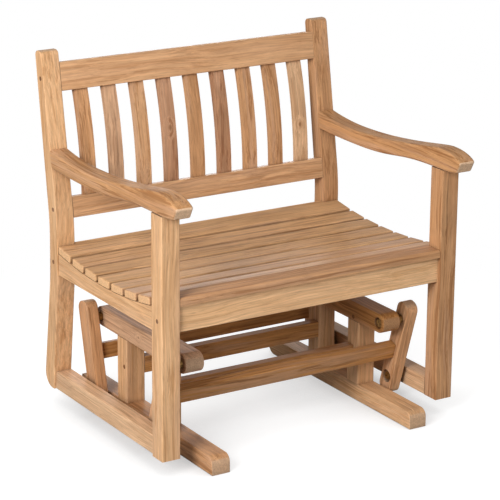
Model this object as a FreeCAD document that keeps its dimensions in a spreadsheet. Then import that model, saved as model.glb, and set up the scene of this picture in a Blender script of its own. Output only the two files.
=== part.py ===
import FreeCAD, Part
import os
import re
import Sketcher
from FreeCAD import Placement, Rotation, Vector

# Glider chair in teak, millimetres, +Z up, front towards -Y, floor at Z 0, left is -X.

# Sizes
SIZES = [
    # Chair frame
    ("chair_width", 820, "across the outer faces of the posts"),
    ("post_wide", 48, "posts and arms, across the chair"),
    ("chair_clear", 41, "floor to the feet of the posts"),
    ("front_post_front", -277, "front face of the front posts"),
    ("front_post_deep", 48, "front posts, front to back"),
    ("arm_seat_high", 627, "top of the front posts, where the arms sit"),
    ("foot_front", 272.5, "rear post front edge at the foot"),
    ("hip_front", 239.5, "rear post front edge under the seat"),
    ("waist_front", 235.5, "rear post front edge above the seat"),
    ("top_front", 306, "rear post front edge at the top"),
    ("foot_deep", 49, "rear post front to back at the foot"),
    ("hip_deep", 41.5, "rear post front to back under the seat"),
    ("waist_deep", 41.5, "rear post front to back above the seat"),
    ("top_deep", 31.5, "rear post front to back at the top"),
    ("hip_high", 325, "height of the bend under the seat"),
    ("waist_high", 470, "height of the bend above the seat"),
    ("top_high", 890, "top of the rear posts"),
    ("post_bend_round", 500, "radius of the bends in the rear posts"),
    ("post_top_round", 12, "radius on the top of the rear posts"),
    ("post_heel_round", 36, "radius behind the rear foot"),
    ("ease", 2.5, "radius on the long edges of the timbers"),
    ("slat_ease", 3.5, "radius on the long edges of the slats"),
    # Rails of the chair
    ("low_rail_wide", 42, "lower side rail, across the chair"),
    ("low_rail_tall", 46.5, "lower side rail height"),
    ("seat_rail_wide", 32, "seat side rail, across the chair"),
    ("seat_rail_set", 12.5, "seat side rail, set in from the inner post face"),
    ("seat_rail_tall", 35.5, "seat side rail height at the seat's lowest line"),
    ("apron_set", 9, "apron, set back from the post fronts"),
    ("apron_thick", 25, "front apron thickness"),
    ("apron_tall", 64, "front apron height"),
    ("rear_rail_set", 2, "rear seat rail, set back from the bend of the post"),
    ("rear_rail_thick", 37, "rear seat rail thickness"),
    ("rear_rail_tall", 52, "rear seat rail height"),
    # Seat
    ("slat_thick", 19.5, "seat slat thickness"),
    ("slat_wide", 54, "seat slat width"),
    ("slat_end_set", 3, "seat slat ends, set in from the outer post faces"),
    ("dish_radius", 1350, "radius of the seat hollow"),
    ("dish_middle", 14, "lowest line of the seat hollow"),
    ("seat_low", 402.5, "lowest height of the seat surface"),
    ("seat_front_rise", 26, "front slat above the seat's lowest line"),
    ("rear_slat_wide", 74, "rear seat slat width"),
    ("rear_slat_tongue", 13.5, "rear seat slat behind the front edges of the rear posts"),
    ("front_slat_wide", 53, "front seat slat width"),
    ("front_slat_round", 7, "radius on the front edge of the seat"),
    ("slat_gap", 0.5, "gap between slats and posts, and over the rear seat rail"),
    # Back
    ("back_rail_thick", 28, "back rails, front to back"),
    ("back_low_start", 17, "bend of the post to the lower back rail, along the post"),
    ("back_low_tall", 51.5, "lower back rail height"),
    ("back_top_drop", 30, "top of the post to the top rail, along the post"),
    ("back_top_tall", 69.5, "top rail height"),
    ("back_slat_wide", 35.5, "back slat width"),
    ("back_slat_thick", 15, "back slat thickness"),
    ("back_slat_end_gap", 37, "between a rear post and the nearest back slat"),
    ("back_slat_set", 8, "back slat ends, set behind the rail fronts"),
    ("back_slat_bow", 9, "back slat, forward bow"),
    # Arms
    ("arm_thick_front", 51.2, "arm depth over the front post"),
    ("arm_rear_rise", 34, "arm top at the rear post, above the front posts"),
    ("arm_rear_thick", 48, "arm depth at the rear post"),
    ("arm_low_reach", 118, "lowest line of the arm top, ahead of the bend of the rear post"),
    ("arm_under_reach", 150.5, "lowest line underneath, ahead of that bend"),
    ("arm_low_rise", 16.8, "arm top at its lowest line, above the front posts"),
    ("arm_low_thick", 37.3, "arm top at its lowest line, above the lowest line underneath"),
    ("arm_crest_set", 19, "highest line of the arm, behind the front of the front post"),
    ("arm_overhang", 63, "front edge of the arm, ahead of the front post"),
    ("arm_nose_rise", 31, "front edge of the arm, above the front posts"),
    ("arm_chin_overhang", 49, "lower edge of the arm's front end, ahead of the front post"),
    ("arm_chin_rise", 5, "that edge above the front posts"),
    ("arm_nose_round", 6, "radius on the front edge of the arm"),
    ("arm_chin_round", 5, "radius on the lower edge of the arm's front end"),
    ("arm_ease", 6, "radius on the long edges of the arms"),
    # Base
    ("base_wide", 50, "runners, uprights and beams, across the chair"),
    ("base_mid", 19.5, "middle of the base, front to back"),
    ("runner_front", -319.5, "front end of the runners"),
    ("runner_back", 325, "rear end of the runners"),
    ("runner_tall", 44, "runner height"),
    ("runner_nose_round", 20, "radius on the top of the front end"),
    ("runner_heel_round", 28, "radius under the rear end"),
    ("upright_deep", 48, "uprights, front to back"),
    ("upright_span", 179, "between the middles of the uprights"),
    ("beam_tall", 49, "beam height"),
    ("rail_pivot_rise", 23.78, "front lower pivots above the underside of the rails"),
    ("pivot_span", 393, "between the upper pivots"),
    ("base_rail_thick", 27, "base cross rail thickness"),
    ("base_rail_tall", 42, "base cross rail height"),
    ("base_rear_bottom", 114, "underside of the rear base rail"),
    ("base_front_bottom", 101, "underside of the front base rail"),
    # Swing links
    ("link_long", 174, "between the pivots of a link"),
    ("link_wide", 45, "link width"),
    ("link_thick", 32, "link thickness"),
    ("link_head", 46, "link above its upper pivot"),
    ("link_toe", 46, "link below its lower pivot"),
    ("link_round", 20, "radius on the end corners of a link"),
    ("beam_gap", 16, "between beam and link"),
    ("rail_gap", 10, "between link and lower side rail"),
    ("front_lean", 17.2, "front links at rest, degrees, tops forward"),
    ("rear_lean", 12.9, "rear links at rest, degrees, tops rearward"),
    ("tie_set", 13.5, "link stretcher, set back from the front of the links"),
    ("tie_thick", 25, "link stretcher thickness"),
    ("tie_tall", 39, "link stretcher height"),
    ("front_tie_drop", 93, "upper pivot to the middle of the front stretcher"),
    ("rear_tie_drop", 85, "upper pivot to the middle of the rear stretcher"),
    # Pivot fittings
    ("bolt_thick", 10, "pivot bolt diameter"),
    ("flange_wide", 25, "diameter of the flange under the bolt head"),
    ("flange_thick", 2.5, "thickness of that flange"),
    ("head_wide", 20, "diameter of the bolt head"),
    ("head_tall", 5.5, "height of the bolt head"),
    ("beam_recess_wide", 30, "diameter of the recess round a bolt head in the beams"),
    ("link_recess_wide", 33, "diameter of the recess round a bolt head in the links"),
    ("recess_deep", 11, "depth of those recesses"),
    ("bolt_bite", 26, "length of the bolt held in timber"),
    ("bush_wall", 2.5, "wall of the bushes"),
    ("collar_wide", 24, "diameter of the spacing collars"),
    ("run_gap", 0.05, "radial running gap of bolt in bush"),
    ("side_gap", 0.4, "sideways gap at each turning face"),
    ("open_play", 3.3, "extra radial play at the front lower pivots"),
    ("fit_gap", 0.03, "radial gap of fixed metal in timber"),
    # Joinery
    ("tenon_long", 14, "tenons of the cross rails"),
    ("side_tenon_long", 12, "tenons of the seat side rails"),
    ("tenon_deep", 20, "tenons of the heavy timbers"),
    ("tenon_thick", 14, "tenon thickness"),
    ("tenon_step", 8, "shoulder above and below a tenon"),
    ("slat_tenon_thick", 9, "back slat tenon thickness"),
    ("slat_tenon_step", 5, "shoulder beside a back slat tenon"),
    ("plug_wide", 11, "diameter of the wooden plugs"),
    ("plug_deep", 8, "depth of the wooden plugs"),
    ("pin_deep", 40, "depth of the wooden pins through the tops of the uprights, from the inner face"),
    ("screw_thick", 6, "rail screw diameter"),
    ("screw_long", 70, "rail screw length with its head"),
    ("screw_head_tall", 4, "rail screw head height"),
]
BACK_SLATS = 9
MIDDLE_SLATS = 6
SIDES = (("left", -1), ("right", 1))

doc = FreeCAD.newDocument("glider_chair")
sheet = doc.addObject("Spreadsheet::Sheet", "Sizes")
for row, (alias, number, note) in enumerate(SIZES, start=1):
    sheet.set("A%d" % row, note)
    sheet.set("B%d" % row, str(number))
    sheet.setAlias("B%d" % row, alias)
doc.recompute()
ALIASES = {alias for alias, number, note in SIZES}
nodes = []


# Formulas of named sizes
def formula(text):
    return re.sub(r"[a-z_]+", lambda word: "Sizes." + word[0] if word[0] in ALIASES else word[0], text)


def number_of(text):
    result = sheet.evalExpression(formula(text))
    return float(getattr(result, "Value", result))


def bind(item, **formulas):
    for name, text in formulas.items():
        item.setExpression(name.replace("__", "."), formula(text))


def place(item, x, y, z):
    bind(item, Placement__Base__x=x, Placement__Base__y=y, Placement__Base__z=z)


def from_side(side, inner, wide):
    return inner if side > 0 else "-(%s) - (%s)" % (inner, wide)


# Building blocks
def box(name, x, y, z, wide, deep, tall):
    item = doc.addObject("Part::Box", name)
    bind(item, Length=wide, Width=deep, Height=tall)
    place(item, x, y, z)
    return item


def rod(name, side, inner, y, z, diameter, length):
    item = doc.addObject("Part::Cylinder", name)
    item.Placement = Placement(Vector(), Rotation(Vector(0, 1, 0), 90))
    bind(item, Radius="(%s) / 2" % diameter, Height=length)
    place(item, from_side(side, inner, length), y, z)
    return item


def edges_at(shape, wide, picked):
    names = []
    for index, edge in enumerate(shape.Edges, start=1):
        ends = [edge.valueAt(edge.FirstParameter), edge.valueAt(edge.LastParameter)]
        middle = edge.valueAt((edge.FirstParameter + edge.LastParameter) / 2)
        if picked(ends, middle, wide):
            names.append("Edge%d" % index)
    return names


def on_rim(ends, middle, wide):
    return all(min(abs(point.x), abs(point.x - wide)) < 1e-4 for point in ends + [middle])


def rim_along(axis):
    def picked(ends, middle, wide):
        step = ends[1] - ends[0]
        return on_rim(ends, middle, wide) and step.Length > 0 and abs(step[axis]) > 0.9 * step.Length
    return picked


def along_x(ends, middle, wide):
    return abs(abs(ends[1].x - ends[0].x) - wide) < 1e-4


def every_edge(ends, middle, wide):
    return True


def corners_at(points):
    def picked(ends, middle, wide):
        near = any(abs(middle.y - point.x) < 1e-3 and abs(middle.z - point.y) < 1e-3 for point in points)
        return near and along_x(ends, middle, wide)
    return picked


def rounded(body, feature, picked, radius, wide):
    fillet = body.newObject("PartDesign::Fillet", body.Name + "_round")
    fillet.Base = (feature, edges_at(feature.Shape, wide, picked))
    bind(fillet, Radius=radius)
    body.Tip = fillet
    doc.recompute()
    return fillet


# A timber is an outline in the YZ plane given width along X, in a frame (y, z, angle about X).
def timber(name, x, wide, outline, frame=None, corners=(), ease=None, radius="ease"):
    body = doc.addObject("PartDesign::Body", name)
    plane = [item for item in body.Origin.OriginFeatures if item.Role == "YZ_Plane"][0]
    sketch = body.newObject("Sketcher::SketchObject", name + "_outline")
    sketch.AttachmentSupport = (plane, [""])
    sketch.MapMode = "FlatFace"
    points = [Vector(number_of(y), number_of(z), 0) for y, z in outline]
    count = len(points)
    for index in range(count):
        sketch.addGeometry(Part.LineSegment(points[index], points[(index + 1) % count]), False)
    for index in range(count):
        sketch.addConstraint(Sketcher.Constraint("Coincident", index, 2, (index + 1) % count, 1))
    for index, (y, z) in enumerate(outline):
        across = sketch.addConstraint(Sketcher.Constraint("DistanceX", -1, 1, index, 1, points[index].x))
        upward = sketch.addConstraint(Sketcher.Constraint("DistanceY", -1, 1, index, 1, points[index].y))
        sketch.setExpression("Constraints[%d]" % across, formula(y))
        sketch.setExpression("Constraints[%d]" % upward, formula(z))
    pad = body.newObject("PartDesign::Pad", name + "_pad")
    pad.Profile = sketch
    bind(pad, Length=wide)
    body.Tip = pad
    if frame:
        body.Placement = Placement(Vector(), Rotation(Vector(1, 0, 0), 1))
        place(body, x, frame[0], frame[1])
        bind(body, Placement__Rotation__Angle=frame[2])
    else:
        bind(body, Placement__Base__x=x)
    doc.recompute()
    width = number_of(wide)
    feature = pad
    for picks, corner_radius in corners:
        feature = rounded(body, feature, corners_at([points[pick] for pick in picks]), corner_radius, width)
    if ease:
        rounded(body, feature, ease, radius, width)
    return body


def oblong(y, z, deep, tall):
    far = "(%s) + (%s)" % (y, deep)
    top = "(%s) + (%s)" % (z, tall)
    return [(y, z), (far, z), (far, top), (y, top)]


def together(name, items):
    if len(items) == 1:
        return items[0]
    fuse = doc.addObject("Part::MultiFuse", name)
    fuse.Shapes = items
    return fuse


def less(name, base, tools):
    cut = doc.addObject("Part::Cut", name)
    cut.Base = base
    cut.Tool = together(name + "_tools", tools)
    return cut


def node(item, label):
    item.Label = label
    nodes.append(item)
    return item


def group(label, items):
    compound = doc.addObject("Part::Compound", label)
    compound.Links = items
    return node(compound, label)


# A piece is its timber, plus tenons, less mortises and bores.
def piece(label, blank, tenons=(), cuts=()):
    item = blank
    if tenons:
        item = together(label + "_tenoned", [item] + list(tenons))
    if cuts:
        item = less(label, item, list(cuts))
    return node(item, label)


# Shared places
POST_IN = "(chair_width / 2 - post_wide)"
LINK_OUT = "(%s - rail_gap)" % POST_IN
LINK_IN = "(%s - link_thick)" % LINK_OUT
BASE_OUT = "(%s - beam_gap)" % LINK_IN
BASE_IN = "(%s - base_wide)" % BASE_OUT
PIVOT_HIGH = "(chair_clear + rail_pivot_rise + link_long * cos(front_lean))"
REAR_UP = "(base_mid + pivot_span / 2)"
FRONT_UP = "(base_mid - pivot_span / 2)"
REAR_LOW = ("(%s - link_long * sin(rear_lean))" % REAR_UP, "(%s - link_long * cos(rear_lean))" % PIVOT_HIGH)
FRONT_LOW = ("(%s + link_long * sin(front_lean))" % FRONT_UP, "(chair_clear + rail_pivot_rise)")
REAR_FRAME = (REAR_UP, PIVOT_HIGH, "-rear_lean")
FRONT_FRAME = (FRONT_UP, PIVOT_HIGH, "front_lean")
BEAM_BOTTOM = "(%s - beam_tall / 2)" % PIVOT_HIGH
RAKE = "atan((top_front - waist_front) / (top_high - waist_high))"
BACK_FRAME = ("waist_front", "waist_high", "-%s" % RAKE)
BACK_TOP_START = "((top_high - waist_high) / cos(%s) - back_top_drop - back_top_tall)" % RAKE
BACK_LOW_END = "(back_low_start + back_low_tall)"
BACK_SPAN = "(%s - %s)" % (BACK_TOP_START, BACK_LOW_END)
BACK_PITCH = "((2 * (%s - back_slat_end_gap) - back_slat_wide) / %d)" % (POST_IN, BACK_SLATS - 1)
FRONT_POST_BACK = "(front_post_front + front_post_deep)"
POST_MID_X = "(chair_width / 2 - post_wide / 2)"
TENON_IN = "(%s - tenon_thick / 2)" % POST_MID_X
SEAT_UNDER = "(seat_low - slat_thick)"
SEAT_RAIL_BOTTOM = "(%s - seat_rail_tall)" % SEAT_UNDER
APRON_FRONT = "(front_post_front + apron_set)"
APRON_TOP = "(%s + seat_front_rise)" % SEAT_UNDER
APRON_BOTTOM = "(%s - apron_tall)" % APRON_TOP
REAR_RAIL_FRONT = "(hip_front + rear_rail_set)"
DISH_HIGH = "(seat_low + dish_radius)"
SLAT_REACH = "(chair_width / 2 - slat_end_set)"
REAR_SLAT_FRONT = "(waist_front + rear_slat_tongue - rear_slat_wide)"
FRONT_SLAT_BACK = "(front_post_front + front_slat_wide)"
SLAT_PITCH = "((%s - %s + slat_wide) / %d)" % (REAR_SLAT_FRONT, FRONT_SLAT_BACK, MIDDLE_SLATS + 1)
ARM_REAR_HIGH = "(arm_seat_high + arm_rear_rise)"
ARM_REAR_UNDER = "(%s - arm_rear_thick)" % ARM_REAR_HIGH


# Seat slats are flat underneath and rest by their edges on the hollowed rails.
def slat_frame(middle, wide):
    turn = "asin((%s - dish_middle) / dish_radius)" % middle
    arm = "(sqrt((dish_radius + slat_thick) ^ 2 - (%s / 2) ^ 2) - slat_thick)" % wide
    return ("dish_middle + %s * sin(%s)" % (arm, turn), "%s - %s * cos(%s)" % (DISH_HIGH, arm, turn), turn)


REAR_SLAT_FRAME = slat_frame("(%s + rear_slat_wide / 2)" % REAR_SLAT_FRONT, "rear_slat_wide")
REAR_SLAT_UNDER = "(%s + (%s + ease - (%s)) * tan(%s) - slat_thick / cos(%s))" % (
    REAR_SLAT_FRAME[1], REAR_RAIL_FRONT, REAR_SLAT_FRAME[0], REAR_SLAT_FRAME[2], REAR_SLAT_FRAME[2])
REAR_RAIL_BOTTOM = "(%s - slat_gap - rear_rail_tall)" % REAR_SLAT_UNDER


def back_point(y, z):
    across = "(waist_front + (%s) * cos(%s) + (%s) * sin(%s))" % (y, RAKE, z, RAKE)
    upward = "(waist_high - (%s) * sin(%s) + (%s) * cos(%s))" % (y, RAKE, z, RAKE)
    return across, upward


# Screws with a wooden plug over the head, driven from an outer face towards the middle
def screw_set(name, side, outer, y, z):
    head_in = "(%s - plug_deep - screw_head_tall)" % outer
    tip_in = "(%s - plug_deep - screw_long)" % outer
    plug_in = "(%s - plug_deep)" % outer
    plug = rod(name + "_plug", side, plug_in, y, z, "plug_wide", "plug_deep")
    head = rod(name + "_head", side, head_in, y, z, "plug_wide - 1", "screw_head_tall")
    shank = rod(name + "_shank", side, tip_in, y, z, "screw_thick", "screw_long")
    screw = together(name + "_screw", [head, shank])
    wide_bore = rod(name + "_counterbore", side, head_in, y, z, "plug_wide + 2 * fit_gap",
                    "plug_deep + screw_head_tall")
    thin_bore = rod(name + "_bore", side, tip_in, y, z, "screw_thick + 2 * fit_gap", "screw_long")
    return plug, screw, together(name + "_hole", [wide_bore, thin_bore])


# A pivot bolt from its head recess outwards, with the holes it needs
def bolt_set(name, side, face, thick, gap, y, z, recess_wide):
    floor = "(%s + recess_deep)" % face
    flange_in = "(%s - side_gap - flange_thick)" % floor
    reach = "(%s + %s + bolt_bite)" % (face + " + " + thick, gap)
    head = rod(name + "_head", side, "%s - head_tall" % flange_in, y, z, "head_wide", "head_tall")
    flange = rod(name + "_flange", side, flange_in, y, z, "flange_wide", "flange_thick")
    shank = rod(name + "_shank", side, flange_in, y, z, "bolt_thick", "%s - %s" % (reach, flange_in))
    bolt = together(name + "_bolt", [head, flange, shank])
    recess = rod(name + "_recess", side, face, y, z, recess_wide, "recess_deep")
    seat = "(%s + %s + %s)" % (face, thick, gap)
    hole = rod(name + "_hole", side, seat, y, z, "bolt_thick + 2 * fit_gap", "bolt_bite")
    return bolt, recess, hole


def bush_set(name, side, face, thick, y, z, play):
    floor = "(%s + recess_deep)" % face
    length = "(%s - recess_deep)" % thick
    outside = "(bolt_thick + 2 * (%s) + 2 * bush_wall)" % play
    body = rod(name + "_body", side, floor, y, z, outside, length)
    bore = rod(name + "_bore", side, floor, y, z, "bolt_thick + 2 * (%s)" % play, length)
    seat = rod(name + "_seat", side, floor, y, z, outside + " + 2 * fit_gap", length)
    return less(name + "_bush", body, [bore]), seat


def collar(name, side, face, gap, y, z):
    start = "(%s + side_gap)" % face
    length = "(%s - side_gap)" % gap
    body = rod(name + "_body", side, start, y, z, "collar_wide", length)
    bore = rod(name + "_bore", side, start, y, z, "bolt_thick + 2 * fit_gap", length)
    return less(name + "_collar", body, [bore])


# Pivot fittings
BEAM_SIDE = (BASE_IN, "base_wide", BASE_OUT, "beam_gap", "beam_recess_wide")
LINK_SIDE = (LINK_IN, "link_thick", LINK_OUT, "rail_gap", "link_recess_wide")
PIVOTS = {
    "rear_upper": (REAR_UP, PIVOT_HIGH) + BEAM_SIDE + ("run_gap",),
    "front_upper": (FRONT_UP, PIVOT_HIGH) + BEAM_SIDE + ("run_gap",),
    "rear_lower": REAR_LOW + LINK_SIDE + ("run_gap",),
    "front_lower": FRONT_LOW + LINK_SIDE + ("run_gap + open_play",),
}
fittings = {}
for pivot, (y, z, face, thick, outer, gap, recess_wide, play) in PIVOTS.items():
    for hand, side in SIDES:
        name = "%s_%s" % (pivot, hand)
        bolt, recess, hole = bolt_set(name, side, face, thick, gap, y, z, recess_wide)
        bush, seat = bush_set(name, side, face, thick, y, z, play)
        ring = collar(name, side, outer, gap, y, z)
        fittings[pivot, hand] = {"bolt": bolt, "recess": recess, "hole": hole,
                                 "bush": bush, "seat": seat, "collar": ring}


def fitting_pair(kind, *pivots):
    return [fittings[pivot, hand][kind] for pivot in pivots for hand, side in SIDES]


group("beam_bushes", fitting_pair("bush", "rear_upper", "front_upper"))
group("rear_lower_bushes", fitting_pair("bush", "rear_lower"))
group("front_lower_bushes", fitting_pair("bush", "front_lower"))
group("rear_upper_bolts", fitting_pair("bolt", "rear_upper"))
group("front_upper_bolts", fitting_pair("bolt", "front_upper"))
group("lower_bolts", fitting_pair("bolt", "rear_lower", "front_lower"))
group("rear_upper_collars", fitting_pair("collar", "rear_upper"))
group("front_upper_collars", fitting_pair("collar", "front_upper"))
group("lower_collars", fitting_pair("collar", "rear_lower", "front_lower"))

# Base
UPRIGHTS = {"rear": "(base_mid + upright_span / 2)", "front": "(base_mid - upright_span / 2)"}
BASE_RAILS = {
    "rear": ("(%s - upright_deep / 2)" % UPRIGHTS["rear"], "base_rear_bottom"),
    "front": ("(%s + upright_deep / 2 - base_rail_thick)" % UPRIGHTS["front"], "base_front_bottom"),
}
base_plugs = []
base_screws = []
foot_tenons = {"left": [], "right": []}
head_tenons = {"left": [], "right": []}
pin_bores = {"left": [], "right": []}
for end, middle in UPRIGHTS.items():
    rail_front, rail_bottom = BASE_RAILS[end]
    rail_tenons = []
    rail_holes = []
    for hand, side in SIDES:
        name = "upright_%s_%s" % (end, hand)
        across = from_side(side, BASE_IN, "base_wide")
        blank = timber(name + "_timber", across, "base_wide",
                       oblong("%s - upright_deep / 2" % middle, "runner_tall", "upright_deep",
                              "%s - runner_tall" % BEAM_BOTTOM), ease=rim_along(2))
        tenon_x = from_side(side, "%s + base_wide / 2 - tenon_thick / 2" % BASE_IN, "tenon_thick")
        tenon_y = "%s - upright_deep / 2 + tenon_step" % middle
        tenon_deep = "upright_deep - 2 * tenon_step"
        foot = box(name + "_foot_tenon", tenon_x, tenon_y, "runner_tall - tenon_deep",
                   "tenon_thick", tenon_deep, "tenon_deep")
        head = box(name + "_head_tenon", tenon_x, tenon_y, BEAM_BOTTOM,
                   "tenon_thick", tenon_deep, "tenon_deep")
        foot_tenons[hand].append(foot)
        head_tenons[hand].append(head)
        rail_tenon = box(name + "_rail_tenon", from_side(side, BASE_IN, "tenon_long"),
                         "%s + (base_rail_thick - tenon_thick) / 2" % rail_front,
                         "%s + tenon_step" % rail_bottom,
                         "tenon_long", "tenon_thick", "base_rail_tall - 2 * tenon_step")
        plug, screw, hole = screw_set(name, side, BASE_OUT, "%s + base_rail_thick / 2" % rail_front,
                                      "%s + base_rail_tall / 2" % rail_bottom)
        pin_high = "%s + tenon_deep / 2" % BEAM_BOTTOM
        pin = rod(name + "_pin", side, BASE_IN, middle, pin_high, "plug_wide", "pin_deep")
        pin_bore = rod(name + "_pin_bore", side, BASE_IN, middle, pin_high, "plug_wide + 2 * fit_gap",
                       "pin_deep")
        base_plugs += [plug, pin]
        base_screws.append(screw)
        pin_bores[hand].append(pin_bore)
        rail_tenons.append(rail_tenon)
        rail_holes.append(hole)
        piece(name, blank, [foot, head], [rail_tenon, hole, pin_bore])
    rail = timber("base_rail_%s_timber" % end, "-%s" % BASE_IN, "2 * %s" % BASE_IN,
                  oblong(rail_front, rail_bottom, "base_rail_thick", "base_rail_tall"), ease=along_x)
    piece("base_rail_%s" % end, rail, rail_tenons, rail_holes)
group("base_plugs", base_plugs)
group("base_screws", base_screws)

for hand, side in SIDES:
    across = from_side(side, BASE_IN, "base_wide")
    runner = timber("runner_%s_timber" % hand, across, "base_wide",
                    oblong("runner_front", "0", "runner_back - runner_front", "runner_tall"),
                    corners=[([3], "runner_nose_round"), ([1], "runner_heel_round")], ease=on_rim)
    piece("runner_%s" % hand, runner, cuts=foot_tenons[hand])
    beam_long = "pivot_span + beam_tall"
    beam = timber("beam_%s_timber" % hand, across, "base_wide",
                  oblong("base_mid - (%s) / 2" % beam_long, BEAM_BOTTOM, beam_long, "beam_tall"),
                  corners=[(range(4), "beam_tall * 0.49")], ease=on_rim)
    bores = [fittings["%s_upper" % end, hand][kind] for end in UPRIGHTS for kind in ("recess", "seat")]
    piece("beam_%s" % hand, beam, cuts=head_tenons[hand] + pin_bores[hand] + bores)

# Swing frames
TIE_FRONT = "(tie_set - link_wide / 2)"
TIES = {"rear": (REAR_FRAME, "rear_tie_drop"), "front": (FRONT_FRAME, "front_tie_drop")}
for end, (frame, drop) in TIES.items():
    tie_tenons = []
    tie_low = "-%s - tie_tall / 2" % drop
    for hand, side in SIDES:
        name = "link_%s_%s" % (end, hand)
        link = timber(name + "_timber", from_side(side, LINK_IN, "link_thick"), "link_thick",
                      oblong("-link_wide / 2", "-link_long - link_toe", "link_wide",
                             "link_long + link_toe + link_head"), frame=frame,
                      corners=[(range(4), "link_round")], ease=on_rim)
        tenon = timber(name + "_tenon", from_side(side, LINK_IN, "tenon_long"), "tenon_long",
                       oblong("%s + (tie_thick - tenon_thick) / 2" % TIE_FRONT, tie_low + " + tenon_step",
                              "tenon_thick", "tie_tall - 2 * tenon_step"), frame=frame)
        tie_tenons.append(tenon)
        upper = fittings["%s_upper" % end, hand]
        lower = fittings["%s_lower" % end, hand]
        piece(name, link, cuts=[tenon, upper["hole"], lower["recess"], lower["seat"]])
    tie = timber("stretcher_%s_timber" % end, "-%s" % LINK_IN, "2 * %s" % LINK_IN,
                 oblong(TIE_FRONT, tie_low, "tie_thick", "tie_tall"), frame=frame, ease=along_x)
    piece("stretcher_%s" % end, tie, tie_tenons)

# Posts of the chair
REAR_POST = [
    ("foot_front", "chair_clear"),
    ("foot_front + foot_deep", "chair_clear"),
    ("hip_front + hip_deep", "hip_high"),
    ("waist_front + waist_deep", "waist_high"),
    ("top_front + top_deep", "top_high"),
    ("top_front", "top_high"),
    ("waist_front", "waist_high"),
    ("hip_front", "hip_high"),
]
rear_posts = {}
front_posts = {}
SCRIBE = [("chair_width", "chair_clear"), ("chair_width", "top_high")] + REAR_POST[5:] + REAR_POST[:1]
scribe = timber("rear_post_scribe", "-chair_width / 2", "chair_width", SCRIBE,
                corners=[([3, 4], "post_bend_round")])
for hand, side in SIDES:
    across = from_side(side, POST_IN, "post_wide")
    rear_posts[hand] = timber("rear_post_%s_timber" % hand, across, "post_wide", REAR_POST,
                              corners=[([2, 3, 6, 7], "post_bend_round"), ([1], "post_heel_round"),
                                       ([4, 5], "post_top_round")], ease=on_rim)
    front_posts[hand] = timber("front_post_%s_timber" % hand, across, "post_wide",
                               oblong("front_post_front", "chair_clear", "front_post_deep",
                                      "arm_seat_high - chair_clear"), ease=rim_along(2))

rear_cuts = {"left": [], "right": []}
front_cuts = {"left": [], "right": []}
front_tenons = {"left": [], "right": []}
chair_plugs = []
chair_screws = []


# A cross rail has a tenon and a plugged screw at each end, both let into the posts.
def cross_rail(label, outline, tenon_outline, spot, cuts_of, frame=None, extra=()):
    rail = timber(label + "_timber", "-%s" % POST_IN, "2 * %s" % POST_IN, outline, frame=frame, ease=along_x)
    tenons = []
    holes = list(extra)
    for hand, side in SIDES:
        tenon = timber("%s_tenon_%s" % (label, hand), from_side(side, POST_IN, "tenon_long"), "tenon_long",
                       tenon_outline, frame=frame)
        plug, screw, hole = screw_set("%s_%s" % (label, hand), side, "chair_width / 2", spot[0], spot[1])
        tenons.append(tenon)
        holes.append(hole)
        cuts_of[hand] += [tenon, hole]
        chair_plugs.append(plug)
        chair_screws.append(screw)
    piece(label, rail, tenons, holes)


cross_rail("front_apron", oblong(APRON_FRONT, APRON_BOTTOM, "apron_thick", "apron_tall"),
           oblong("%s + (apron_thick - tenon_thick) / 2" % APRON_FRONT, "%s + tenon_step" % APRON_BOTTOM,
                  "tenon_thick", "apron_tall - 2 * tenon_step"),
           ("%s + apron_thick / 2" % APRON_FRONT, "%s + apron_tall / 2" % APRON_BOTTOM), front_cuts)
cross_rail("rear_seat_rail", oblong(REAR_RAIL_FRONT, REAR_RAIL_BOTTOM, "rear_rail_thick", "rear_rail_tall"),
           oblong("%s + (rear_rail_thick - tenon_thick) / 2" % REAR_RAIL_FRONT,
                  "%s + tenon_step" % REAR_RAIL_BOTTOM, "tenon_thick", "rear_rail_tall - 2 * tenon_step"),
           ("%s + rear_rail_thick / 2" % REAR_RAIL_FRONT, "%s + rear_rail_tall / 2" % REAR_RAIL_BOTTOM),
           rear_cuts)

# Back slats are bowed between two cylinders behind the back.
BOW_RADIUS = "(%s ^ 2 / (8 * back_slat_bow) + back_slat_bow / 2)" % BACK_SPAN
BOW_FRONT = "(back_slat_set - back_slat_bow)"
BOW_LEVEL = "(%s + %s / 2)" % (BACK_LOW_END, BACK_SPAN)
bow_y, bow_z = back_point("%s + %s" % (BOW_FRONT, BOW_RADIUS), BOW_LEVEL)
bow_front = rod("bow_front", 1, "-chair_width / 2", bow_y, bow_z, "2 * %s" % BOW_RADIUS, "chair_width")
bow_rear = rod("bow_rear", 1, "-chair_width / 2", bow_y, bow_z, "2 * (%s - back_slat_thick)" % BOW_RADIUS,
               "chair_width")
bow = less("bow", bow_front, [bow_rear])
slat_tenons = []
for index in range(BACK_SLATS):
    label = "back_slat_%d" % (index + 1)
    middle = "%s * %g" % (BACK_PITCH, index - (BACK_SLATS - 1) / 2)
    blank = timber(label + "_timber", "%s - back_slat_wide / 2" % middle, "back_slat_wide",
                   oblong("%s - 1" % BOW_FRONT, BACK_LOW_END,
                          "back_slat_bow + back_slat_thick + 2", BACK_SPAN), frame=BACK_FRAME)
    curved = doc.addObject("Part::Common", label + "_curved")
    curved.Base = blank
    curved.Tool = bow
    tenon = timber(label + "_tenon", "%s - back_slat_wide / 2 + slat_tenon_step" % middle,
                   "back_slat_wide - 2 * slat_tenon_step",
                   oblong("back_slat_set + (back_slat_thick - slat_tenon_thick) / 2",
                          "%s - tenon_long" % BACK_LOW_END, "slat_tenon_thick",
                          "%s + 2 * tenon_long" % BACK_SPAN), frame=BACK_FRAME)
    ends = less(label + "_tenons", tenon, [blank])
    slat_tenons.append(ends)
    piece(label, curved, [ends])
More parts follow.
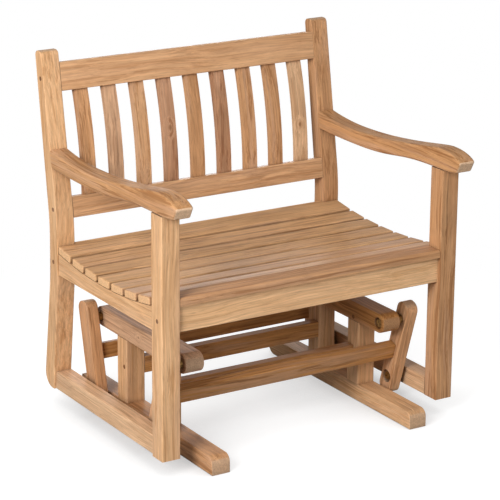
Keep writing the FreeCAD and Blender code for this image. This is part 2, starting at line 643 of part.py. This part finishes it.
for label, start, tall in (("back_low_rail", "back_low_start", "back_low_tall"),
                           ("back_top_rail", BACK_TOP_START, "back_top_tall")):
    cross_rail(label, oblong("0", start, "back_rail_thick", tall),
               oblong("(back_rail_thick - tenon_thick) / 2", "%s + tenon_step" % start, "tenon_thick",
                      "%s - 2 * tenon_step" % tall),
               back_point("back_rail_thick / 2", "%s + %s / 2" % (start, tall)), rear_cuts,
               frame=BACK_FRAME, extra=slat_tenons)
group("chair_plugs", chair_plugs)
group("chair_screws", chair_screws)

# Side rails, scribed to the front edges of the rear posts
hollow = rod("seat_hollow", 1, "-chair_width / 2", "dish_middle", DISH_HIGH, "2 * (dish_radius + slat_thick)",
             "chair_width")
for hand, side in SIDES:
    tenon_x = from_side(side, TENON_IN, "tenon_thick")
    low = timber("low_rail_%s_timber" % hand, from_side(side, POST_IN, "low_rail_wide"), "low_rail_wide",
                 oblong(FRONT_POST_BACK, "chair_clear", "foot_front + foot_deep / 2 - %s" % FRONT_POST_BACK,
                        "low_rail_tall"), ease=rim_along(1))
    low_front = box("low_rail_%s_front_tenon" % hand, tenon_x, "%s - tenon_deep" % FRONT_POST_BACK,
                    "chair_clear + tenon_step", "tenon_thick", "tenon_deep", "low_rail_tall - 2 * tenon_step")
    low_rear = box("low_rail_%s_rear_tenon" % hand, tenon_x, "hip_front", "chair_clear + tenon_step",
                   "tenon_thick", "foot_front + tenon_deep - hip_front", "low_rail_tall - 2 * tenon_step")
    scribed = less("low_rail_%s_scribed" % hand, low, [scribe])
    holes = [fittings[pivot, hand]["hole"] for pivot in ("rear_lower", "front_lower")]
    piece("low_rail_%s" % hand, scribed, [low_front, low_rear], holes)
    rail = timber("seat_rail_%s_timber" % hand,
                  from_side(side, "%s + seat_rail_set" % POST_IN, "seat_rail_wide"), "seat_rail_wide",
                  oblong(FRONT_POST_BACK, SEAT_RAIL_BOTTOM, "hip_front + hip_deep / 2 - %s" % FRONT_POST_BACK,
                         "2 * seat_rail_tall"))
    seat_front = box("seat_rail_%s_front_tenon" % hand, tenon_x, "%s - side_tenon_long" % FRONT_POST_BACK,
                     "%s + tenon_step" % SEAT_RAIL_BOTTOM, "tenon_thick", "side_tenon_long",
                     "seat_rail_tall - tenon_step")
    seat_rear = box("seat_rail_%s_rear_tenon" % hand, tenon_x, "waist_front - side_tenon_long",
                    "%s + tenon_step" % SEAT_RAIL_BOTTOM, "tenon_thick",
                    "hip_front - waist_front + 2 * side_tenon_long", "seat_rail_tall - tenon_step")
    hollowed = less("seat_rail_%s_hollowed" % hand, rail, [scribe, hollow])
    piece("seat_rail_%s" % hand, hollowed, [seat_front, seat_rear])
    rear_cuts[hand] += [low_rear, seat_rear]
    front_cuts[hand] += [low_front, seat_front]


# Seat slats
def seat_slat(label, frame, wide):
    return timber(label, "-%s" % SLAT_REACH, "2 * %s" % SLAT_REACH,
                  oblong("-(%s) / 2" % wide, "-slat_thick", wide, "slat_thick"),
                  frame=frame, ease=every_edge, radius="slat_ease")


rear_slat = seat_slat("seat_slat_1_timber", REAR_SLAT_FRAME, "rear_slat_wide")
notches = [box("seat_slat_1_notch_%s" % hand, from_side(side, "%s - slat_gap" % POST_IN, "2 * post_wide"),
               "waist_front - slat_gap", SEAT_RAIL_BOTTOM, "2 * post_wide", "2 * waist_deep",
               "3 * seat_rail_tall") for hand, side in SIDES]
piece("seat_slat_1", rear_slat, cuts=notches)
for index in range(MIDDLE_SLATS):
    label = "seat_slat_%d" % (index + 2)
    middle = "(%s + slat_wide / 2 - %s * %d)" % (REAR_SLAT_FRONT, SLAT_PITCH, index + 1)
    node(seat_slat(label, slat_frame(middle, "slat_wide"), "slat_wide"), label)
front_slat = timber("seat_slat_%d" % (MIDDLE_SLATS + 2), "-%s + slat_gap" % POST_IN,
                    "2 * (%s - slat_gap)" % POST_IN,
                    oblong("front_post_front", APRON_TOP, "front_slat_wide", "slat_thick"),
                    corners=[([3], "front_slat_round")])
node(front_slat, front_slat.Name)


# Arms, a curved outline given width across the chair
def arm_blank(name, side):
    nose = (number_of("front_post_front - arm_overhang"), number_of("arm_seat_high + arm_nose_rise"))
    crest = (number_of("front_post_front + arm_crest_set"), number_of("arm_seat_high + arm_thick_front"))
    low = (number_of("waist_front - arm_low_reach"), number_of("arm_seat_high + arm_low_rise"))
    rear_rise = "(%s - waist_high) * tan(%s)" % (ARM_REAR_HIGH, RAKE)
    rear_line = number_of("waist_front + waist_deep / 2 + " + rear_rise)
    rear = (rear_line, number_of(ARM_REAR_HIGH))
    under_rear = (rear_line, number_of(ARM_REAR_UNDER))
    under_low = (number_of("waist_front - arm_under_reach"), low[1] - number_of("arm_low_thick"))
    under_front = (number_of(FRONT_POST_BACK), number_of("arm_seat_high"))
    under_post = (number_of("front_post_front"), under_front[1])
    chin = (number_of("front_post_front - arm_chin_overhang"), number_of("arm_seat_high + arm_chin_rise"))

    def line(start, end):
        return Part.LineSegment(Vector(0, *start), Vector(0, *end)).toShape()

    def curve(*spots):
        bezier = Part.BezierCurve()
        bezier.setPoles([Vector(0, y, z) for y, z in spots])
        return bezier.toShape()

    def between(start, end, level):
        return ((start[0] + end[0]) / 2, level)

    outline = [
        curve(rear, between(rear, low, low[1]), low),
        curve(low, between(low, crest, low[1]), (crest[0] + (low[0] - crest[0]) * 0.1, crest[1]), crest),
        curve(crest, (nose[0] + (crest[0] - nose[0]) * 0.33, crest[1]), nose),
        line(nose, chin),
        curve(chin, between(chin, under_post, under_post[1]), under_post),
        line(under_post, under_front),
        curve(under_front, between(under_front, under_low, under_front[1]),
              between(under_front, under_low, under_low[1]), under_low),
        curve(under_low, between(under_low, under_rear, under_low[1]), under_rear),
        line(under_rear, rear),
    ]
    wide = number_of("post_wide")
    solid = Part.Face(Part.Wire(outline)).extrude(Vector(wide, 0, 0))
    rounds = [
        (corners_at([Vector(*nose)]), "arm_nose_round"),
        (corners_at([Vector(*chin)]), "arm_chin_round"),
        (on_rim, "arm_ease"),
    ]
    for picked, radius in rounds:
        names = edges_at(solid, wide, picked)
        solid = solid.makeFillet(number_of(radius), [solid.getElement(name) for name in names])
    arm = doc.addObject("Part::Feature", name)
    arm.Shape = solid
    arm.Placement = Placement(Vector(number_of(from_side(side, POST_IN, "post_wide")), 0, 0), Rotation())
    return arm


for hand, side in SIDES:
    tenon_x = from_side(side, TENON_IN, "tenon_thick")
    blank = less("arm_%s_scribed" % hand, arm_blank("arm_%s_timber" % hand, side), [scribe])
    seat = box("arm_%s_post_tenon" % hand, tenon_x, "front_post_front + tenon_step", "arm_seat_high",
               "tenon_thick", "front_post_deep - 2 * tenon_step", "tenon_deep")
    post_face = "waist_front + (%s - waist_high) * tan(%s)" % (ARM_REAR_UNDER, RAKE)
    rear_tenon = box("arm_%s_rear_tenon" % hand, tenon_x, "%s - tenon_long" % post_face,
                     "%s + tenon_step" % ARM_REAR_UNDER, "tenon_thick", "2 * tenon_long + tenon_step",
                     "arm_rear_thick - 2 * tenon_step")
    piece("arm_%s" % hand, blank, [rear_tenon], [seat])
    front_tenons[hand].append(seat)
    rear_cuts[hand].append(rear_tenon)
    piece("front_post_%s" % hand, front_posts[hand], front_tenons[hand], front_cuts[hand])
    piece("rear_post_%s" % hand, rear_posts[hand], cuts=rear_cuts[hand])

# Checks, then one file for each piece
doc.recompute()
faults = [item.Name for item in doc.Objects if "Invalid" in item.State or "Error" in item.State]
if faults:
    raise RuntimeError("objects that failed: " + ", ".join(faults))
for item in nodes:
    if item.Shape.isNull() or not item.Shape.isValid() or not item.Shape.Solids:
        raise RuntimeError("bad shape: " + item.Label)
os.makedirs("parts", exist_ok=True)
for item in nodes:
    item.Shape.exportStep(os.path.join("parts", item.Label + ".step"))
print("%d pieces written" % len(nodes))
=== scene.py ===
import math
import random
from collections import namedtuple

import bpy
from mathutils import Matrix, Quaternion, Vector


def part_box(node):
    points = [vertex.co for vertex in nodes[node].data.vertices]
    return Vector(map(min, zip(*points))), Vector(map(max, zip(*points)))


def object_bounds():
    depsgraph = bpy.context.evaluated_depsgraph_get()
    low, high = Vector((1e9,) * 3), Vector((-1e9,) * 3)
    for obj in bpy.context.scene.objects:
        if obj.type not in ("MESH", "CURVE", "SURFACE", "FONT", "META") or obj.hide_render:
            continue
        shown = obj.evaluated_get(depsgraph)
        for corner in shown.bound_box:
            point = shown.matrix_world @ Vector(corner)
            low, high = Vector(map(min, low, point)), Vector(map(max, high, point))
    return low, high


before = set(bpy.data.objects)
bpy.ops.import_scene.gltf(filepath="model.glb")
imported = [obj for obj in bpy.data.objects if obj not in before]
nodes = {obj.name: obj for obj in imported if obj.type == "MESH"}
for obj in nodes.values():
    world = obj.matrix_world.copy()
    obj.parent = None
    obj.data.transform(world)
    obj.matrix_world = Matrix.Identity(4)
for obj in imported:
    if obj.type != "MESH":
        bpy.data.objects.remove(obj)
cad_low, cad_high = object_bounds()
scene = bpy.context.scene

# Camera, fitted to the photograph
CAMERA_AIM = Vector((-0.0142, -0.0121, 0.4173))
CAMERA_AZIMUTH = -31.778
CAMERA_ELEVATION = 17.402
CAMERA_ROLL = 0.406
CAMERA_DISTANCE = 5.41
CAMERA_LENS = 160.6
CAMERA_SENSOR = 36
CAMERA_REACH = 100

# Teak, as sRGB values out of 255: pale and dark colour of each kind of board
TONES = {
    "golden": ((228, 183, 138), (190, 139, 92)),
    "light": ((238, 193, 146), (202, 151, 101)),
    "sand": ((226, 185, 145), (186, 143, 105)),
    "tan": ((216, 169, 126), (174, 125, 84)),
    "honey": ((200, 150, 103), (154, 104, 62)),
    "rose": ((189, 140, 105), (140, 94, 64)),
    "brown": ((204, 154, 110), (154, 106, 67)),
    "seat": ((222, 175, 127), (172, 126, 83)),
    "umber": ((192, 136, 80), (140, 90, 46)),
    "ash": ((210, 168, 133), (162, 120, 88)),
    "plug": ((132, 90, 56), (96, 62, 38)),
}
BLUSH_TONE = (208, 166, 134)
STAIN_TONE = (146, 113, 86)
STREAK_TONE = (108, 76, 50)
PORE_TONE = (112, 76, 48)
KNOT_TONE = (122, 82, 50)

# End grain, with the timbers whose ends are paler or darker than the rest
END_TONE = (196, 163, 133)
END_TONES = {"arm": (230, 197, 164), "beam_right": (166, 128, 94), "seat_slat": (230, 184, 137)}
END_FACING = (0.72, 0.9)
END_AMOUNT = 0.75

# Directions of the grain, and leans of slanting timbers in degrees, positive where the top is forward
ACROSS, LENGTHWAYS, UPRIGHT = 0, 1, 2
BACK_LEAN = -9.5
REAR_POST_LEAN = -4.0
FRONT_LINK_LEAN = 17.2
REAR_LINK_LEAN = -12.9

# Families of timbers: how their names start, grain direction, tone, lean and strength of figure
Family = namedtuple("Family", "start axis tone lean figure")
FAMILIES = [
    Family("seat_slat_8", ACROSS, "brown", 0.0, 0.5),
    Family("seat_slat_7", ACROSS, "tan", 0.0, 0.4),
    Family("seat_slat_6", ACROSS, "tan", 0.0, 0.5),
    Family("seat_slat", ACROSS, "seat", 0.0, 0.65),
    Family("front_apron", ACROSS, "light", 0.0, 0.3),
    Family("rear_seat_rail", ACROSS, "umber", 0.0, 0.5),
    Family("back_low_rail", ACROSS, "tan", 0.0, 0.5),
    Family("back_top_rail", ACROSS, "tan", 0.0, 0.25),
    Family("base_rail", ACROSS, "umber", 0.0, 0.5),
    Family("stretcher", ACROSS, "umber", 0.0, 0.6),
    Family("runner_left", LENGTHWAYS, "brown", 0.0, 0.7),
    Family("runner_right", LENGTHWAYS, "golden", 0.0, 0.7),
    Family("beam_left", LENGTHWAYS, "ash", 0.0, 0.7),
    # The right beam's umber tone is partly its own darker wood and partly painted shade, deepened for the
    # shade under the seat
    Family("beam_right", LENGTHWAYS, "umber", 0.0, 0.6),
    Family("low_rail", LENGTHWAYS, "sand", 0.0, 0.6),
    Family("seat_rail", LENGTHWAYS, "golden", 0.0, 0.4),
    Family("arm", LENGTHWAYS, "honey", 0.0, 0.7),
    # The right posts are browner than the left: partly their own wood, partly painted shade where the light
    # falls off to the right
    Family("rear_post_left", UPRIGHT, "golden", REAR_POST_LEAN, 0.5),
    Family("rear_post_right", UPRIGHT, "brown", REAR_POST_LEAN, 0.5),
    Family("front_post_left", UPRIGHT, "golden", 0.0, 0.6),
    Family("front_post_right", UPRIGHT, "brown", 0.0, 0.7),
    Family("upright", UPRIGHT, "golden", 0.0, 0.5),
    Family("link_front", UPRIGHT, "tan", FRONT_LINK_LEAN, 0.6),
    Family("link_rear", UPRIGHT, "brown", REAR_LINK_LEAN, 0.6),
    Family("base_plugs", UPRIGHT, "plug", 0.0, 0.3),
    Family("chair_plugs", UPRIGHT, "plug", 0.0, 0.3),
]
BACK_SLAT_TONES = ["brown", "ash", "tan", "rose", "brown", "rose", "brown", "brown", "sand"]
BACK_SLAT_FIGURE = 0.7
for number, tone in enumerate(BACK_SLAT_TONES, 1):
    FAMILIES.append(Family("back_slat_%d" % number, UPRIGHT, tone, BACK_LEAN, BACK_SLAT_FIGURE))

# Knots: which way they run through the board, their place from its middle and their radius
Knot = namedtuple("Knot", "through spot radius")
KNOTS = {
    "back_slat_4": Knot(1, (0.001, 0.0, 0.005), 0.005),
    "back_slat_9": Knot(1, (-0.003, 0.0, -0.034), 0.004),
    "beam_left": Knot(0, (0.0, 0.0015, 0.006), 0.0035),
}
KNOT_STRETCH = 0.7

# Ramps, here and below: start, end, value at the start, value at the end. A knot's ramps are in its radii
KNOT_PULL = (0.8, 5.0, 0.75, 0.0)
KNOT_SHOWN = (0.4, 1.5, 0.6, 0.0)

# Layers of the wood's figure: scales across and along the grain, detail, roughness, start and full strength
Layer = namedtuple("Layer", "across along detail rough start full")
LAYERS = {
    "patches": Layer(9, 2.2, 1.0, 0.5, 0.4, 0.65),
    "drift": Layer(24, 2.0, 2.0, 0.5, 0.45, 0.65),
    "cloud": Layer(14, 7, 2.0, 0.5, 0.3, 0.7),
    "stain": Layer(20, 4.5, 3.0, 0.6, 0.50, 0.70),
    "pale_lines": Layer(95, 2.0, 4.0, 0.6, 0.52, 0.60),
    "dark_lines": Layer(120, 2.6, 4.0, 0.62, 0.545, 0.61),
    "black_lines": Layer(70, 2.8, 5.0, 0.66, 0.60, 0.72),
    "pores": Layer(800, 26, 2.0, 0.5, 0.60, 0.72),
}
FIBRE_SCALES = (300, 300, 6)
FIBRE_DETAIL = 4.0
FIBRE_ROUGH = 0.68
SWAY_SCALES = (5, 5, 2.2)
SWAY = 0.045
SHIFT_LEAST, SHIFT_MOST = 3, 30
PORE_AMOUNT = 0.35

# Growth rings round a pith that lies beside the board, in metres
RING_SPACING = 0.008
RING_SPREAD = (0.8, 1.5)
RING_WOBBLE = {"Distortion": 4.0, "Detail": 3.0, "Detail Scale": 0.8}
RING_SHOWN = (0.4, 1.0)
PITH_NEAR = 0.05
PITH_FAR = 0.16
PITH_LEAN = 0.05

# The wave texture's own factor on distance
WAVE_FACTOR = 20

# Wear and painted shade: darker fibres, painted shade in the corners between timbers, a dry surface
FIBRE_SHADE = (0.25, 0.75, 0.78, 1.14)
BOARD_LEVEL = (0.97, 1.03)
# Painted shade: reach and samples of the occlusion that darkens the colour in corners, and its ramp
PAINTED_SHADE_REACH = 0.02
PAINTED_SHADE_SAMPLES = 6
PAINTED_SHADE = (0.15, 0.85, 0.45, 1.0)
WOOD_ROUGHNESS = (0.2, 0.8, 0.5, 0.7)
WOOD_SPECULAR = 0.15
FIBRE_HEIGHT = 0.6
PORE_DEPTH = 0.5
WOOD_BUMP = {"Strength": 0.4, "Distance": 0.0008}

# Metal: dull spots and marks of the lathe
SPOT_SCALES = (180, 180, 180)
SPOT_DETAIL = 4.0
SPOTS_SHOWN = (0.45, 0.7)
SPOTS_ROUGH = (0.3, 0.7)
LATHE_SCALES = (40, 900, 900)
METAL_BUMP = {"Strength": 0.2, "Distance": 0.0003}

# Floor and world, in metres: the shadow, partly painted, fades to white between its near and far radius
FLOOR_HALF = 30.0
FLOOR_DROP = 0.0005
FLOOR_GREY = (0.3, 0.3, 0.3, 1)
FLOOR_ROUGHNESS = 0.9
SHADOW_NEAR = 0.75
SHADOW_FAR = 1.3
# Painted contact shadow: how far the floor's occlusion reaches, its samples, and how much it dims the glow
SHADOW_REACH = 0.3
SHADOW_SAMPLES = 16
SHADOW_GLOW = (0.1, 1.0, 0.45, 0.9)
WHITE = (1, 1, 1, 1)
FILL = 0.17

# Lamps: place, point aimed at, side and power
Softbox = namedtuple("Softbox", "name place aim side power")
SOFTBOXES = [
    Softbox("key", (-3.3, -1.7, 2.3), (0, 0, 0.45), 1.8, 170),
    Softbox("front", (-0.6, -4.2, 2.0), (0, 0, 0.4), 2.2, 54),
    Softbox("overhead", (-0.8, -0.6, 3.6), (0, 0, 0.4), 2.4, 10),
    Softbox("rear", (2.0, 3.8, 0.5), (0, 0, 0.45), 1.0, 56),
]


# Colours and node trees
def linear(srgb):
    return tuple(((value / 255 + 0.055) / 1.055) ** 2.4 for value in srgb) + (1.0,)


class Graph:
    def __init__(self, tree):
        self.tree = tree
        self.shader = tree.nodes.get("Principled BSDF")

    def put(self, kind, inputs=None, **settings):
        node = self.tree.nodes.new("ShaderNode" + kind)
        for key, value in settings.items():
            setattr(node, key, value)
        for key, value in (inputs or {}).items():
            self.feed(node.inputs[key], value)
        return node

    def feed(self, socket, value):
        if isinstance(value, bpy.types.NodeSocket):
            self.tree.links.new(value, socket)
        else:
            socket.default_value = value

    def maths(self, operation, first, second=0.0):
        return self.put("Math", {0: first, 1: second}, operation=operation).outputs[0]

    def vector(self, operation, first, second):
        return self.put("VectorMath", {0: first, 1: second}, operation=operation).outputs[0]

    def length(self, vector):
        return self.put("VectorMath", {0: vector}, operation="LENGTH").outputs["Value"]

    def noise(self, vector, scales, detail=2.0, rough=0.5):
        settings = {"Scale": 1.0, "Detail": detail, "Roughness": rough}
        settings["Vector"] = self.vector("MULTIPLY", vector, scales)
        return self.put("TexNoise", settings).outputs["Fac"]

    def ramp(self, value, low, high, out_low=0.0, out_high=1.0):
        limits = {"Value": value, "From Min": low, "From Max": high, "To Min": out_low, "To Max": out_high}
        return self.put("MapRange", limits, interpolation_type="SMOOTHSTEP").outputs[0]

    def mix(self, amount, first, second, blend="MIX"):
        node = self.put("Mix", {0: amount, 6: first, 7: second}, data_type="RGBA", blend_type=blend)
        return node.outputs[2]

    def open_to(self, reach, samples):
        return self.put("AmbientOcclusion", {"Distance": reach}, samples=samples).outputs["AO"]


def material_graph(name):
    material = bpy.data.materials.new(name)
    material.use_nodes = True
    return material, Graph(material.node_tree)


def seen_directly(graph):
    path = graph.put("LightPath").outputs
    through = graph.maths("MAXIMUM", path["Is Camera Ray"], path["Is Transmission Ray"])
    return graph.maths("MAXIMUM", through, path["Is Glossy Ray"])


def dress(item, material):
    item.data.materials.clear()
    item.data.materials.append(material)


# Teak: rings round a pith beside the board, streaks, fibres, pores and end grain
def family_of(name):
    return next(family for family in FAMILIES if name.startswith(family.start))


def end_tone_of(name):
    return next((tone for start, tone in END_TONES.items() if name.startswith(start)), END_TONE)


def along_grain(graph, vector, axis):
    parts = graph.put("SeparateXYZ", {0: vector}).outputs
    order = [index for index in range(3) if index != axis] + [axis]
    return graph.put("CombineXYZ", {spot: parts[index] for spot, index in enumerate(order)}).outputs[0]


def board_frame(graph, name, family):
    coords = graph.put("TexCoord").outputs
    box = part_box(name)
    turn = (-math.radians(family.lean), 0.0, 0.0)
    local = graph.vector("SUBTRACT", coords["Object"], (box[0] + box[1]) / 2)
    turned = graph.put("Mapping", {"Vector": local, "Rotation": turn}).outputs[0]
    facing = graph.put("Mapping", {"Vector": coords["Normal"], "Rotation": turn}).outputs[0]
    return along_grain(graph, turned, family.axis), along_grain(graph, facing, family.axis)


def shifted(graph, grain, draw):
    return graph.vector("ADD", grain, Vector([draw.uniform(SHIFT_LEAST, SHIFT_MOST) for _ in range(3)]))


def swayed(graph, grain, draw):
    sway = []
    for _ in range(2):
        swing = graph.maths("SUBTRACT", graph.noise(shifted(graph, grain, draw), SWAY_SCALES), 0.5)
        sway.append(graph.maths("MULTIPLY", swing, SWAY))
    bend = graph.put("CombineXYZ", {0: sway[0], 1: sway[1]}).outputs[0]
    return graph.vector("ADD", grain, bend)


def knotted(graph, grain, knot):
    squash = [1 / knot.radius, 1 / knot.radius, KNOT_STRETCH / knot.radius]
    squash[knot.through] = 0.0
    offset = graph.vector("SUBTRACT", grain, Vector(knot.spot))
    away = graph.length(graph.vector("MULTIPLY", offset, Vector(squash)))
    pull = graph.ramp(away, *KNOT_PULL)
    drawn = graph.put("VectorMath", {0: offset, "Scale": pull}, operation="SCALE").outputs[0]
    return away, graph.vector("SUBTRACT", grain, drawn)


def ring_lines(graph, bent, draw):
    angle = draw.uniform(0, 2 * math.pi)
    reach = draw.uniform(PITH_NEAR, PITH_FAR)
    pith = Vector((reach * math.cos(angle), reach * math.sin(angle), 0.0))
    lean = (draw.uniform(-PITH_LEAN, PITH_LEAN), draw.uniform(-PITH_LEAN, PITH_LEAN), 0.0)
    centred = graph.put("Mapping", {"Vector": bent, "Location": pith, "Rotation": lean}).outputs[0]
    scale = 2 * math.pi / (WAVE_FACTOR * RING_SPACING * draw.uniform(*RING_SPREAD))
    settings = {**RING_WOBBLE, "Vector": centred, "Scale": scale}
    rings = graph.put("TexWave", settings, wave_type="RINGS", rings_direction="Z")
    return graph.ramp(rings.outputs["Fac"], *RING_SHOWN)


def layer(graph, place, kind, least=0.0, most=1.0):
    shape = LAYERS[kind]
    noise = graph.noise(place, (shape.across, shape.across, shape.along), shape.detail, shape.rough)
    return graph.ramp(noise, shape.start, shape.full, least, most)


def figure_layers(graph, bent, draw, figure):
    # Least and most strength of each layer
    amounts = {
        "patches": (0.05, 0.4),
        "drift": (0.0, 0.7 * figure),
        "cloud": (0.15, 0.45),
        "stain": (0.0, 0.8 * figure * figure),
        "pale_lines": (0.0, 0.9),
        "dark_lines": (0.0, 0.35 + 0.6 * figure),
        "black_lines": (0.0, 0.8 * figure),
    }
    return {kind: layer(graph, shifted(graph, bent, draw), kind, *amounts[kind]) for kind in amounts}


def board_colour(graph, tone, late_wood, shown):
    pale, dark = (linear(colour) for colour in TONES[tone])
    colour = graph.mix(shown["cloud"], pale, dark)
    colour = graph.mix(graph.maths("MULTIPLY", late_wood, shown["patches"]), colour, dark)
    colour = graph.mix(shown["drift"], colour, linear(BLUSH_TONE))
    colour = graph.mix(shown["stain"], colour, linear(STAIN_TONE))
    colour = graph.mix(shown["pale_lines"], colour, pale)
    colour = graph.mix(shown["dark_lines"], colour, dark)
    return graph.mix(shown["black_lines"], colour, linear(STREAK_TONE))


def fibres_and_painted_shade(graph, colour, fibre, level):
    low, high, least, most = FIBRE_SHADE
    fibre_and_painted_shade = graph.ramp(fibre, low, high, least * level, most * level)
    # Painted shade: the colour darkens in corners and crevices where occlusion finds a near timber
    painted_shade = graph.ramp(graph.open_to(PAINTED_SHADE_REACH, PAINTED_SHADE_SAMPLES), *PAINTED_SHADE)
    fibre_and_painted_shade = graph.maths("MULTIPLY", fibre_and_painted_shade, painted_shade)
    fibre_and_painted_shade_rgb = graph.put("CombineXYZ", {0: fibre_and_painted_shade, 1: fibre_and_painted_shade, 2: fibre_and_painted_shade}).outputs[0]
    return graph.mix(1.0, colour, fibre_and_painted_shade_rgb, "MULTIPLY")


def teak(name, family):
    draw = random.Random(name)
    material, graph = material_graph("teak_" + name)
    grain, normal = board_frame(graph, name, family)
    if name in KNOTS:
        from_knot, grain = knotted(graph, grain, KNOTS[name])
    bent = swayed(graph, grain, draw)
    place = shifted(graph, bent, draw)
    late_wood = ring_lines(graph, bent, draw)
    shown = figure_layers(graph, bent, draw, family.figure)
    fibre = graph.noise(place, FIBRE_SCALES, FIBRE_DETAIL, FIBRE_ROUGH)
    pores = layer(graph, place, "pores")

    colour = board_colour(graph, family.tone, late_wood, shown)
    if name in KNOTS:
        colour = graph.mix(graph.ramp(from_knot, *KNOT_SHOWN), colour, linear(KNOT_TONE))
    lengthwise = graph.put("SeparateXYZ", {0: normal}).outputs[2]
    end = graph.ramp(graph.maths("ABSOLUTE", lengthwise), *END_FACING, 0.0, END_AMOUNT)
    colour = graph.mix(end, colour, linear(end_tone_of(name)))
    colour = graph.mix(graph.maths("MULTIPLY", pores, PORE_AMOUNT), colour, linear(PORE_TONE))
    colour = fibres_and_painted_shade(graph, colour, fibre, draw.uniform(*BOARD_LEVEL))

    ridges = graph.maths("MULTIPLY", fibre, FIBRE_HEIGHT)
    height = graph.maths("SUBTRACT", ridges, graph.maths("MULTIPLY", pores, PORE_DEPTH))
    bump = graph.put("Bump", {**WOOD_BUMP, "Height": height})
    graph.feed(graph.shader.inputs["Base Color"], colour)
    graph.feed(graph.shader.inputs["Roughness"], graph.ramp(fibre, *WOOD_ROUGHNESS))
    graph.feed(graph.shader.inputs["Normal"], bump.outputs["Normal"])
    graph.feed(graph.shader.inputs["Specular IOR Level"], WOOD_SPECULAR)
    return material


# Metal of the bolts, screws, bushes and collars
def metal(name, bright, dull, smooth, rough):
    material, graph = material_graph(name)
    place = graph.put("TexCoord").outputs["Object"]
    spots = graph.noise(place, SPOT_SCALES, SPOT_DETAIL)
    turned = graph.noise(place, LATHE_SCALES)
    colour = graph.mix(graph.ramp(spots, *SPOTS_SHOWN), linear(bright), linear(dull))
    bump = graph.put("Bump", {**METAL_BUMP, "Height": turned})
    graph.feed(graph.shader.inputs["Base Color"], colour)
    graph.feed(graph.shader.inputs["Roughness"], graph.ramp(spots, *SPOTS_ROUGH, smooth, rough))
    graph.feed(graph.shader.inputs["Normal"], bump.outputs["Normal"])
    graph.feed(graph.shader.inputs["Metallic"], 1.0)
    return material


bronze = metal("bronze", bright=(150, 116, 70), dull=(88, 64, 38), smooth=0.35, rough=0.6)
brass = metal("brass", bright=(164, 126, 72), dull=(92, 66, 36), smooth=0.4, rough=0.65)
for name, item in nodes.items():
    if "bolt" in name or "screw" in name:
        dress(item, brass)
    elif "collar" in name or "bush" in name:
        dress(item, bronze)
    else:
        dress(item, teak(name, family_of(name)))


# Floor: a grey board to the object's light, white with a faint shadow to the camera, partly the lamps' real
# shadow on a thin grey layer and partly painted shadow where occlusion dims the glow
def floor_material():
    material, graph = material_graph("floor_white")
    graph.feed(graph.shader.inputs["Base Color"], FLOOR_GREY)
    graph.feed(graph.shader.inputs["Roughness"], FLOOR_ROUGHNESS)
    thin = graph.put("BsdfDiffuse", {"Color": FLOOR_GREY})
    # Painted shadow: the glow to the camera dims where occlusion finds the object near
    open_floor = graph.open_to(SHADOW_REACH, SHADOW_SAMPLES)
    glow = graph.put("Emission", {"Strength": graph.ramp(open_floor, *SHADOW_GLOW)})
    shadowed = graph.put("AddShader", {0: thin.outputs[0], 1: glow.outputs[0]})
    white = graph.put("Emission", {"Color": WHITE, "Strength": 1.0})
    away = graph.length(graph.put("TexCoord").outputs["Object"])
    fade = graph.ramp(away, SHADOW_NEAR, SHADOW_FAR)
    shown = graph.put("MixShader", {0: fade, 1: shadowed.outputs[0], 2: white.outputs[0]})
    direct = seen_directly(graph)
    picked = graph.put("MixShader", {0: direct, 1: graph.shader.outputs[0], 2: shown.outputs[0]})
    graph.feed(graph.tree.nodes["Material Output"].inputs["Surface"], picked.outputs[0])
    return material


floor_data = bpy.data.meshes.new("floor")
corners = [(x * FLOOR_HALF, y * FLOOR_HALF, 0) for x, y in ((-1, -1), (1, -1), (1, 1), (-1, 1))]
floor_data.from_pydata(corners, [], [(0, 1, 2, 3)])
floor = bpy.data.objects.new("floor", floor_data)
floor.location.z = cad_low.z - FLOOR_DROP
scene.collection.objects.link(floor)
dress(floor, floor_material())

# World: white to the camera and in reflections, a soft fill on the object
world = bpy.data.worlds.new("studio")
world.use_nodes = True
scene.world = world
sky = Graph(world.node_tree)
background = world.node_tree.nodes["Background"]
sky.feed(background.inputs["Color"], WHITE)
sky.feed(background.inputs["Strength"], sky.ramp(seen_directly(sky), 0.0, 1.0, FILL, 1.0))

# Lamps
for softbox in SOFTBOXES:
    lamp = bpy.data.lights.new(softbox.name, "AREA")
    lamp.shape = "SQUARE"
    lamp.size = softbox.side
    lamp.energy = softbox.power
    holder = bpy.data.objects.new(softbox.name, lamp)
    holder.location = softbox.place
    holder.rotation_mode = "QUATERNION"
    holder.rotation_quaternion = (Vector(softbox.aim) - Vector(softbox.place)).to_track_quat("-Z", "Y")
    scene.collection.objects.link(holder)

# Camera
camera_data = bpy.data.cameras.new("photo_camera")
camera_data.sensor_width = CAMERA_SENSOR
camera_data.lens = CAMERA_LENS
camera_data.clip_end = CAMERA_REACH
camera = bpy.data.objects.new("photo_camera", camera_data)
turn, tip = math.radians(CAMERA_AZIMUTH), math.radians(CAMERA_ELEVATION)
back = Vector((math.sin(turn) * math.cos(tip), -math.cos(turn) * math.cos(tip), math.sin(tip)))
camera.location = CAMERA_AIM + back * CAMERA_DISTANCE
camera.rotation_mode = "QUATERNION"
level_view = (-back).to_track_quat("-Z", "Y")
camera.rotation_quaternion = level_view @ Quaternion((0, 0, 1), math.radians(CAMERA_ROLL))
scene.collection.objects.link(camera)
scene.camera = camera
scene.view_settings.view_transform = "Standard"
